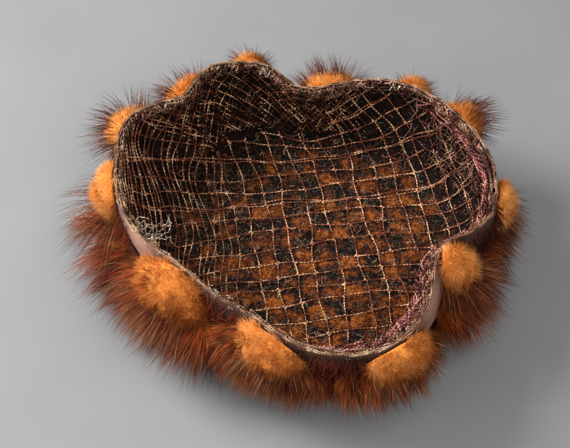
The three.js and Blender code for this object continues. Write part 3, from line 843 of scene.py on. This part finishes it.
def side_band():
    """The cloth wall: one closed ring of cloth with a rounded top edge."""
    strands = Strands()
    angles = np.linspace(0, 360, 300, endpoint=False)
    stations = np.linspace(BAND_FOOT, RIM_STATION, 13)
    inside = [layer_point(angles, station, BAND_INNER) for station in stations]
    top = layer_point(angles, RIM_STATION, (BAND_INNER + BAND_OUTER) / 2) + UP * 0.7
    outside = []
    for station in stations[::-1]:
        thin = 0.7 * max(0, 1 - (RIM_STATION - station) / 0.5)
        outside.append(layer_point(angles, station, BAND_OUTER - thin))
    rings = np.stack(inside + [top] + outside)
    ripple = smooth_noise(rings, 26, 11, 2)[..., None] * 0.35
    rings[..., :2] += ripple * unit(rings[..., :2] - RIM_CENTRE)
    k, m = rings.shape[:2]
    index = np.arange(k * m).reshape(k, m)
    loop = np.concatenate([index, index[:1]], 0)
    following = np.roll(loop, -1, axis=1)
    walls = np.stack([loop[:-1], loop[1:], following[1:], following[:-1]], -1)
    is_outside = np.repeat((np.arange(k) >= len(inside))[:, None], m, 1)
    unshaded = sum(np.exp(-((turn_from(at, angles) / wide) ** 2)) for at, wide in UNSHADED_BAND)
    maps = np.stack([np.broadcast_to(np.clip(unshaded, 0, 1), (k, m)), is_outside], -1)
    strands.take(rings, [walls], maps, BAND_CLOTH)
    piece = strands.build("band_cloth")
    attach(piece, "root")
    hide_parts("side_band")
    return piece


band = side_band()

# The coarse net. It is a square net laid into the bowl, so its two sets of yarns run straight over the
# crown and curve up the wall. NET_TURNS are the turns of its two sets from the hat's X and Y.
NET_MESH = 9.6
NET_TURNS = (np.radians(7), np.radians(101))
NET_LINES = int(RIM_REACH // NET_MESH) + 1
NET_YARN_SIZE = (0.72, 0.5)
NET_TWIST = 3.6
KNOT_SIZE = (1.25, 1.0)
# Round the far lobe the net is drawn in on the bias, so its meshes are diamonds.
FAR_LOBE = {"at": 107.0, "wide": 25.0, "reach": 80.0, "yarns": 25}
# Where the net is pulled round: place on the bowl by angle and reach, how far that goes and the turn.
NET_PULLS = records(
    "name angle reach wide turn",
    ("far lobe", 104.0, 102.0, 30.0, -24.0),
    ("left wall", 160.0, 92.0, 36.0, 12.0),
    ("far right wall", 62.0, 104.0, 26.0, 10.0),
    ("near right", 320.0, 80.0, 40.0, -12.0),
    ("near left", 230.0, 84.0, 34.0, 10.0),
)


def laid_net(p, q):
    """Angle and reach in the bowl of places (p, q) on the flat net."""
    place = p * np.exp(1j * NET_TURNS[0]) + q * np.exp(1j * NET_TURNS[1])
    place = place + 4 * np.sin(q / 60) + 3j * np.sin(p / 50 + 1)
    for pull in NET_PULLS:
        middle = pull["reach"] * np.exp(1j * np.radians(pull["angle"]))
        arm = place - middle
        share = np.exp(-((abs(arm) / pull["wide"]) ** 2))
        place = middle + arm * np.exp(1j * np.radians(pull["turn"]) * share)
    return np.degrees(np.angle(place)), np.abs(place)


def in_far_lobe(angle, reach):
    """Which places of the lining lie in the far lobe."""
    return (np.abs(angle - FAR_LOBE["at"]) < FAR_LOBE["wide"]) & (reach > FAR_LOBE["reach"])


# A tone for each mesh of the flat net
MOST_CELLS = 64
CELL_TONES = np.random.default_rng(77).random((MOST_CELLS, MOST_CELLS))
# Reaches where the orange has faded out, where the wall's painted shade begins, and where the short hairs
# end
ORANGE_END = 76
WALL_SHADE_START = 62
LINING_HAIR_END = 74
TRIED_LINING_HAIRS = 5500
# The pressed fur's two skins: how far out of the lining each lies, and how far the top one bulges up in
# each mesh
SKIN_TOP = 1.45
SKIN_BULGE = 0.65
SKIN_FOOT = 1.62


def orange_amount(p, q, reach):
    """How orange the fur is at a place: none on the wall, less at the far side of the crown. It changes in
    soft patches, and a little from one mesh of the net to the next."""
    cell = [np.floor(v / NET_MESH).astype(int) + MOST_CELLS // 2 for v in (p, q)]
    patches = smooth_noise(np.stack([p, q, 0 * p], -1), 17, 5)
    tone = 0.2 * CELL_TONES[cell[0], cell[1]] + 0.8 * (0.5 + 0.5 * patches)
    share = np.clip(0.48 - q / 400 + p / 600, 0.2, 0.55)
    return np.clip((share - tone) * 1.9 + 0.45, 0.05, 1) * np.clip((ORANGE_END - reach) / 8, 0, 1)


def pressed_fur():
    """What shows between the yarns: fur and dark felt pressed up into each mesh of the net."""
    strands = Strands()
    steps = 5
    side = (NET_LINES + 1) * steps
    line = np.arange(-side, side + 1) / steps * NET_MESH
    p, q = np.meshgrid(line, line, indexing="ij")
    angle, reach = laid_net(p, q)
    bulge = np.abs(np.sin(np.pi * p / NET_MESH) * np.sin(np.pi * q / NET_MESH)) ** 0.6
    inside = reach < RIM_REACH - 1.5
    whole = inside[:-1, :-1] & inside[1:, :-1] & inside[1:, 1:] & inside[:-1, 1:]
    index = np.arange(p.size).reshape(p.shape)
    top = np.stack([index[:-1, :-1], index[1:, :-1], index[1:, 1:], index[:-1, 1:]], -1)[whole]
    used, top = np.unique(top, return_inverse=True)
    top = top.reshape(-1, 4)
    angle, reach, bulge, p, q = (v.ravel()[used] for v in (angle, reach, bulge, p, q))
    upper, _ = lining_point(angle, reach, SKIN_TOP - SKIN_BULGE * bulge)
    lower, _ = lining_point(angle, reach, SKIN_FOOT)
    # The edge of the top skin is joined to the lower skin.
    edges = np.concatenate([top[:, [i, (i + 1) % 4]] for i in range(4)]).tolist()
    seen = {tuple(edge) for edge in edges}
    rim = np.array([edge for edge in edges if (edge[1], edge[0]) not in seen])
    walls = np.stack([rim[:, 1], rim[:, 0], rim[:, 0] + len(used), rim[:, 1] + len(used)], -1)
    amount = orange_amount(p - 0.01 * np.sign(p), q - 0.01 * np.sign(q), reach)
    # Each mesh is painted darker towards the yarns round it: painted shade where the fur dips under the
    # net.
    amount = amount * np.clip(1.2 * bulge + 0.4, 0, 1)
    maps = np.tile(np.stack([amount, np.clip((reach - WALL_SHADE_START) / 16, 0, 1)], -1), (2, 1))
    strands.take(np.concatenate([upper, lower]), [top, top[:, ::-1] + len(used), walls], maps, PRESSED_FUR)

    # Short hairs on the orange places
    p, q = rng.uniform(-78, 78, (2, TRIED_LINING_HAIRS))
    angle, reach = laid_net(p, q)
    grow = (orange_amount(p, q, reach) > 0.5) & (reach < LINING_HAIR_END)
    roots, out = lining_point(angle[grow], reach[grow], 1.2)
    sweep = np.repeat(smooth_noise(roots, 30, 8, 1)[:, None], 3, 1) * [1, 0.5, 0] + [0.2, -0.8, 0]
    run = unit(sweep - out * 0.2 + rng.normal(size=roots.shape) * 0.35)
    tips = roots + run * rng.uniform(2, 4, (len(roots), 1))
    high = ((tips - roots) * -out).sum(-1, keepdims=True)
    tips = tips + out * (high - rng.uniform(0.1, 0.8, high.shape))
    strands.hairs(roots, tips, LINING_HAIR_WIDTH, LOWER_UNDERFUR, normals=-out)
    piece = strands.build("pressed_fur")
    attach(piece, "root")


pressed_fur()


def net_lining():
    """The coarse net: its two sets of yarns, the knots and the diamonds round the far lobe."""
    strands = Strands()
    numbers = np.arange(-NET_LINES, NET_LINES + 1)
    levels = NET_MESH * numbers + rng.uniform(-0.7, 0.7, (2, len(numbers)))

    def yarn(direction, k, t):
        """How far yarn k of one set stands to the side at t along it."""
        wave = 1.1 * np.sin(t / 33 + k * 1.3) + 0.9 * np.sin(t / 14 + k * 2.9) + 0.5 * np.sin(t / 4.7 + k)
        return levels[direction, k + NET_LINES] + wave

    for direction in (0, 1):
        for k in numbers:
            # On the left the yarns lie three together, and elsewhere some rows are doubled.
            on_left = direction == 1 and k < -4
            doubled = direction == 0 and k > 1 and k % 3 == 0
            beside = 3.2 if on_left else 1.3
            for copy in range(3 if on_left else 2 if doubled else 1):
                half = np.sqrt(max((RIM_REACH + 14) ** 2 - levels[direction, k + NET_LINES] ** 2, 0))
                if half < 12:
                    continue
                t = np.arange(-half, half, 1.3)
                side = yarn(direction, k, t) + copy * (beside + 0.9 * np.sin(t / 9 + k))
                angle, reach = laid_net(t, side) if direction == 0 else laid_net(side, t)
                inside = (reach < RIM_REACH) & ~in_far_lobe(angle, reach)
                ends = np.flatnonzero(np.diff(np.concatenate([[0], inside, [0]])))
                over = 0.45 + 0.2 * np.sin((t / NET_MESH + k + direction) * np.pi) - 0.3 * copy
                for first, last in zip(ends[::2], ends[1::2]):
                    if last - first < 8:
                        continue
                    part = slice(first, last)
                    path, out = lining_point(angle[part], reach[part], over[part])
                    strands.tubes(path[None], out[None], NET_YARN_SIZE, NET_TWIST, NET_YARN)
    # The knot at each crossing
    rows, columns = np.meshgrid(numbers, numbers, indexing="ij")
    p, q = levels[1, columns + NET_LINES], levels[0, rows + NET_LINES]
    for _ in range(3):
        p, q = yarn(1, columns, q), yarn(0, rows, p)
    angle, reach = laid_net(p, q)
    knotted = (reach < RIM_REACH - 6) & ~in_far_lobe(angle, reach)
    t = np.linspace(-0.9, 0.9, 5)
    p = p[knotted][:, None] + t
    q = q[knotted][:, None] + t * rng.choice([-1, 1], (len(p), 1))
    path, out = lining_point(*laid_net(p, q), 0.35)
    strands.tubes(path, out, KNOT_SIZE, 0, NET_YARN, 5, taper=True)
    # The diamonds
    t = np.linspace(0, 1, 22)[None]
    for lean in (-1, 1):
        start = FAR_LOBE["at"] + (FAR_LOBE["wide"] + 8) * np.linspace(-1, 1, FAR_LOBE["yarns"])[:, None]
        start = start + rng.uniform(-0.7, 0.7, start.shape)
        angle = start + lean * 20 * (t - 0.5) + 0.6 * np.sin(t * 15 + start)
        over = 0.4 + 0.2 * lean * np.sin(t * 20 + start)
        strands.wall_yarns(angle, 4.97 - 2.75 * t, over, NET_YARN_SIZE, NET_TWIST, NET_YARN)
    piece = strands.build("net_yarns")
    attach(piece, "root")
    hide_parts("net_lining")


net_lining()


def curls(angle, reach, offset, length, spread, points=4):
    """Short curled lengths of thread lying on the lining. Returns their paths and outward directions."""
    number = len(angle)
    heading = rng.uniform(0, TAU, (number, 1))
    turn = rng.normal(0, spread, (number, 1))
    way = heading + turn * np.linspace(-1, 1, points)
    step = length[:, None] / (points - 1)
    du = np.cumsum(np.cos(way) * step, 1)
    dv = np.cumsum(np.sin(way) * step, 1)
    reach_all = np.clip(reach[:, None] + dv, 1, RIM_REACH - 0.4)
    angle_all = angle[:, None] + np.degrees(du / np.maximum(reach_all, 25))
    wobble = offset[:, None] + rng.uniform(-0.3, 0.3, (number, points))
    return lining_point(angle_all, reach_all, wobble)


CURLS = 4000
# Most of the grey threads, painted glints, lie within the first reach, and little rust on the far wall past
# the second.
GLINT_END = 78
FAR_WALL_START = 84
# A frayed knot of bleached ends at the left corner, which stands in from the rim
FRAYED_KNOT = {"at": 196.0, "spread": 3.0, "reach": 8.0, "station": 4.95, "threads": 16, "steps": 9}


def fine_net():
    """The fine dark net between the coarse one and the fur, worn into loops, and its few grey threads,
    painted glints.
    """
    strands = Strands()
    reach = np.sqrt(rng.uniform(0, 1, CURLS)) * (RIM_REACH - 1)
    angle = rng.uniform(0, 360, CURLS)
    path, out = curls(angle, reach, rng.uniform(0.15, 0.9, CURLS), rng.uniform(2.5, 6, CURLS), 1.8)
    # Grey threads are painted glints.
    grey = rng.random(CURLS) < np.where(reach < GLINT_END, 0.34, 0.08)
    far_wall = (reach > FAR_WALL_START) & (np.sin(np.radians(angle)) > 0.3)
    rust = ~grey & (rng.random(CURLS) < np.where(far_wall, 0.12, 0.6))
    dark = ~grey & ~rust
    strands.tubes(path[dark], out[dark], (0.4, 0.3), 0, FINE_YARN, 3)
    strands.tubes(path[grey], out[grey], (0.26, 0.22), 0, PAINTED_GLINT_YARN, 3)
    strands.tubes(path[rust], out[rust], (0.36, 0.3), 0, RUST_YARN, 3)

    number, steps, station = FRAYED_KNOT["threads"], FRAYED_KNOT["steps"], FRAYED_KNOT["station"]
    angle = FRAYED_KNOT["at"] + rng.normal(size=number) * FRAYED_KNOT["spread"]
    start = layer_point(angle, station, rng.uniform(-1, 0.5, number))
    inward = -wall_out(angle, station) * FRAYED_KNOT["reach"] / steps
    walk = inward[:, None] * rng.uniform(0.3, 1.2, (number, 1, 1))
    walk = walk + rng.normal(size=(number, steps, 3)) * 1.2
    walk[:, 0] = 0
    path = start[:, None] + np.cumsum(walk, 1)
    path[..., 2] = np.minimum(path[..., 2], start[:, None, 2] + 2)
    strands.tubes(path, UP, (0.26, 0.24), 0, FRAYED_YARN, 3)
    piece = strands.build("fine_net")
    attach(piece, "root")


fine_net()

# The gathered edge stands in as a rope, most at one angle.
ROPE = {"strands": 9, "size": (1.1, 0.8), "twist": 3.0, "from": -92, "to": 20}
ROPE_STANDS_IN = {"at": -55, "wide": 34}
HEM_RINGS = {"number": 4, "size": (0.55, 0.5), "twist": 3.2}
GATHERS = {"down": 44, "along": 10, "free": 46, "size": (0.7, 0.5), "free_size": (0.6, 0.45), "twist": 2.6}


def standing_in(angle):
    """How much the edge stands in at an angle, up to 1."""
    return np.exp(-(((angle - ROPE_STANDS_IN["at"]) / ROPE_STANDS_IN["wide"]) ** 2))


def net_hem():
    """The edge of the net, gathered and turned in along the rim: a mauve rope at the near right, thin rings
    all round, and gathers that run down the wall."""
    strands = Strands()
    for k in range(ROPE["strands"]):
        angles = np.arange(ROPE["from"] + rng.uniform(0, 10), ROPE["to"] + rng.uniform(0, 40), 0.72)
        round_hat = np.radians(angles)
        turn = k * TAU / ROPE["strands"] + round_hat * 17 + 0.8 * np.sin(round_hat * 31 + k)
        thick = 0.7 + 0.3 * np.sin(round_hat * 23 + k * 2)
        inward = standing_in(angles)
        station = 4.55 - 0.4 * inward + 0.06 * np.sin(round_hat * 9) + 0.22 * thick * np.sin(turn)
        offset = -2.4 - 4.0 * inward + (1.8 + 0.8 * inward) * thick * np.cos(turn)
        strands.wall_yarns(angles, station, offset, ROPE["size"], ROPE["twist"], MAUVE_YARN)
    angles = np.arange(0, 360, 0.9)
    turn = np.radians(angles)
    wander = 1 + 1.6 * np.clip(np.sin(turn), 0, 1)
    for k in range(HEM_RINGS["number"]):
        phase = rng.uniform(0, TAU, 3)
        station = RIM_STATION - 0.1 * wander - 0.09 * k + 0.06 * wander * np.sin(turn * (17 + k) + phase[0])
        station = station + 0.04 * wander * np.sin(turn * (41 + 2 * k) + phase[1])
        offset = 0.1 - 0.7 * (0.5 + 0.5 * np.sin(turn * (23 + 3 * k) + phase[2]))
        strands.wall_yarns(angles, station, offset, HEM_RINGS["size"], HEM_RINGS["twist"], BROWN_YARN)
    # Down the right wall the gathers run on into a close net.
    size, twist = GATHERS["size"], GATHERS["twist"]
    t = np.linspace(0, 1, 20)
    for k in range(GATHERS["down"]):
        angle = -32 + k * 1.9 + rng.uniform(-0.8, 0.8) + rng.normal() * 1.5 * t + 0.5 * np.sin(t * 18 + k)
        station = 4.92 - t * rng.uniform(1.6, 3.0)
        offset = -0.2 - 0.4 * rng.random(t.shape)
        strands.wall_yarns(angle, station, offset, size, twist, MAUVE_YARN if k % 3 else BROWN_YARN)
    for k in range(GATHERS["along"]):
        angle = np.arange(-34 + rng.uniform(0, 12), 34 + rng.uniform(0, 20), 1.1)
        wave = 0.05 * np.sin(np.radians(angle) * 19 + k * 2) + 0.03 * np.sin(np.radians(angle) * 47 + k)
        offset = -0.3 - 0.3 * rng.random(angle.shape)
        material = BROWN_YARN if k % 2 else MAUVE_YARN
        strands.wall_yarns(angle, 4.75 - 0.25 * k + wave, offset, size, twist, material)
    # Between the rope and the rim the gathers stand free.
    number = GATHERS["free"]
    start = rng.uniform(-96, -12, (number, 1))
    inward = standing_in(start)
    t = np.linspace(0, 1, 8)[None]
    angle = start + rng.normal(size=(number, 1)) * 3 * t
    station = 4.93 - (0.35 + 0.4 * inward) * t
    offset = 0.2 - (2.4 + 4.0 * inward) * t + 0.5 * np.sin(t * 9 + start)
    strands.wall_yarns(angle, station, offset, GATHERS["free_size"], twist, MAUVE_YARN)
    piece = strands.build("hem_gathers")
    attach(piece, "root")
    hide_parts("net_hem")


net_hem()

BINDING_TWIST = 2.6
# The two cords of the binding: how far out of the wall and how high over the rim
CORDS = ((1.4, 0.75), (2.1, 0.85))
# How many of the far rim's zigzags are of each yarn, and the angles they take up
ZIGZAGS = ((STITCH_YARN, 60), (MAUVE_YARN, 52), (FRAYED_YARN, 18))
ZIGZAG_START = 18
ZIGZAG_SPAN = 146
STITCHES = 250
FRAYS = 520
# The rim is most frayed round one angle.
MOST_FRAYED = {"at": 222, "wide": 26}


def rim_binding():
    """Overcast stitches over the top edge of band and net, close together, and the frayed ends by them."""
    strands = Strands()
    angles = np.linspace(0, 360, 640)
    turn = np.radians(angles)
    for k, (offset, lift) in enumerate(CORDS):
        sway = 0.25 * np.sin(turn * (37 + 5 * k) + k) + 0.15 * np.sin(turn * 83 + k)
        path = layer_point(angles, RIM_STATION, offset + sway)
        path[:, 2] += lift + 0.2 * np.sin(turn * (29 + k))
        strands.tubes(path[None], UP, (0.58, 0.5), BINDING_TWIST, STITCH_YARN)
    # Along the far rim the yarn ends stand up in a zigzag.
    number = sum(count for _, count in ZIGZAGS)
    angle = ZIGZAG_START + ZIGZAG_SPAN * rng.random((number, 1))
    t = np.linspace(0, 1, 7)[None]
    lean = angle + 3.4 * t * np.sign(rng.normal(size=(number, 1)))
    station = RIM_STATION - rng.uniform(0.12, 0.55, (number, 1)) * np.abs(np.sin(t * np.pi * 1.5))
    path = layer_point(lean, station, -0.5 * t + rng.uniform(-0.6, 0.6, (number, 1)))
    path[..., 2] += 0.5 + rng.uniform(0, 1.2, (number, 1)) * np.sin(t * np.pi)
    for material, count in ZIGZAGS:
        strands.tubes(path[:count], UP, (0.75, 0.6), BINDING_TWIST, material, 3)
        path = path[count:]

    angle = (np.arange(STITCHES) + rng.uniform(-0.5, 0.5, STITCHES)) * 360 / STITCHES
    depth = rng.uniform(0.08, 0.2, (STITCHES, 1))
    station = RIM_STATION - depth * np.abs(2 * t - 1) ** 1.6
    lean = angle[:, None] + (1.2 + rng.normal(size=(STITCHES, 1)) * 0.8) * t
    path = layer_point(lean, station, 0.2 + (BAND_OUTER - 0.7) * t)
    path[..., 2] += (0.9 + 0.6 * rng.random((STITCHES, 1))) * np.sin(np.pi * t)
    right = np.cos(np.radians(angle)) > 0.35
    for material, part in ((STITCH_YARN, ~right), (MAUVE_YARN, right)):
        strands.tubes(path[part], UP, (0.38, 0.34), 0, material)

    # Frayed ends, fewer on the far rim
    angle = rng.uniform(0, 360, FRAYS)
    near = np.sin(np.radians(angle)) < 0.2
    angle = angle[near | (rng.random(FRAYS) < 0.3)]
    number, steps = len(angle), 6
    t = np.linspace(-0.5, 0.5, steps)
    turn = rng.uniform(0, TAU, (number, 1)) + rng.normal(0, 1.3, (number, 1)) * t
    step = rng.uniform(3, 8, (number, 1)) / steps
    lean = angle[:, None] + np.cumsum(np.cos(turn), 1) * step / 1.6
    drop = np.clip(0.12 + np.cumsum(np.sin(turn), 1) * step * 0.06, 0, 0.5)
    rise = np.abs(np.sin(turn)) * rng.uniform(0.0, 2.0, (number, 1))
    path = layer_point(lean, RIM_STATION - drop, rng.uniform(-1.2, 3.0, (number, 1)))
    path[..., 2] += 0.4 + rise * (drop < 0.15)
    worn = np.abs(angle - MOST_FRAYED["at"]) < MOST_FRAYED["wide"]
    pale = rng.random(number) < np.where(worn, 0.6, 0.18)
    strands.tubes(path[pale], UP, (0.34, 0.3), 0, FRAYED_YARN, 3)
    strands.tubes(path[~pale], UP, (0.4, 0.34), 0, STITCH_YARN, 3)
    piece = strands.build("rim_binding")
    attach(piece, "root")


rim_binding()

# The table: a plain pale grey surface, which is not part of the hat. From here on sizes are in metres.
TABLE_SIZE = 6.0
TABLE_GRAIN = 1 / 12
bpy.ops.object.select_all(action="DESELECT")
bpy.ops.mesh.primitive_plane_add(size=TABLE_SIZE, location=(0, 0, 0))
table = bpy.context.active_object
table.name = "table"
table_paint, table_tree, table_shader = new_material("Table, matt grey paint", 0.75)
table_grain = grain(table_tree, TABLE_GRAIN / MM, 3.0)
paint(table_tree, table_shader, ramp(table_tree, table_grain, (0.3, "79797A"), (0.7, "7E7E7F")))
table.data.materials.append(table_paint)

# Camera, 50 degrees above the table, as in the photograph
CAMERA_PLACE = (-0.0098, -0.4059, 0.5243)
CAMERA_TILT = 40.0
CAMERA_LENS = 83.34
CAMERA_SENSOR = 36
camera_data = bpy.data.cameras.new("camera")
camera_data.lens = CAMERA_LENS
camera_data.sensor_width = CAMERA_SENSOR
camera = bpy.data.objects.new("camera", camera_data)
camera.location = CAMERA_PLACE
camera.rotation_euler = (np.radians(CAMERA_TILT), 0, 0)
bpy.context.scene.collection.objects.link(camera)
bpy.context.scene.camera = camera

# Lamps, aimed a little above the table
LAMPS = records(
    "name place size watts",
    ("key", (-0.84, 0.25, 0.78), 0.6, 24.5),
    ("fill", (0.32, -0.52, 1.0), 0.9, 9.5),
    ("left", (-0.8, -0.4, 0.42), 0.5, 3.2),
)
AIM = np.array([0, 0, 0.03])
for row in LAMPS:
    lamp_data = bpy.data.lights.new(row["name"], "AREA")
    lamp_data.energy = row["watts"]
    lamp_data.size = row["size"]
    lamp = bpy.data.objects.new(row["name"], lamp_data)
    lamp.location = row["place"]
    back = unit(np.array(row["place"]) - AIM)
    lamp.rotation_euler = (np.arccos(back[2]), 0, np.arctan2(back[1], back[0]) + np.pi / 2)
    bpy.context.scene.collection.objects.link(lamp)

ROOM_COLOUR = (1.0, 0.98, 0.96, 1)
ROOM_STRENGTH = 0.36
world = bpy.data.worlds.new("room")
world.use_nodes = True
world.node_tree.nodes["Background"].inputs["Color"].default_value = ROOM_COLOUR
world.node_tree.nodes["Background"].inputs["Strength"].default_value = ROOM_STRENGTH
bpy.context.scene.world = world
bpy.context.scene.view_settings.view_transform = "Standard"
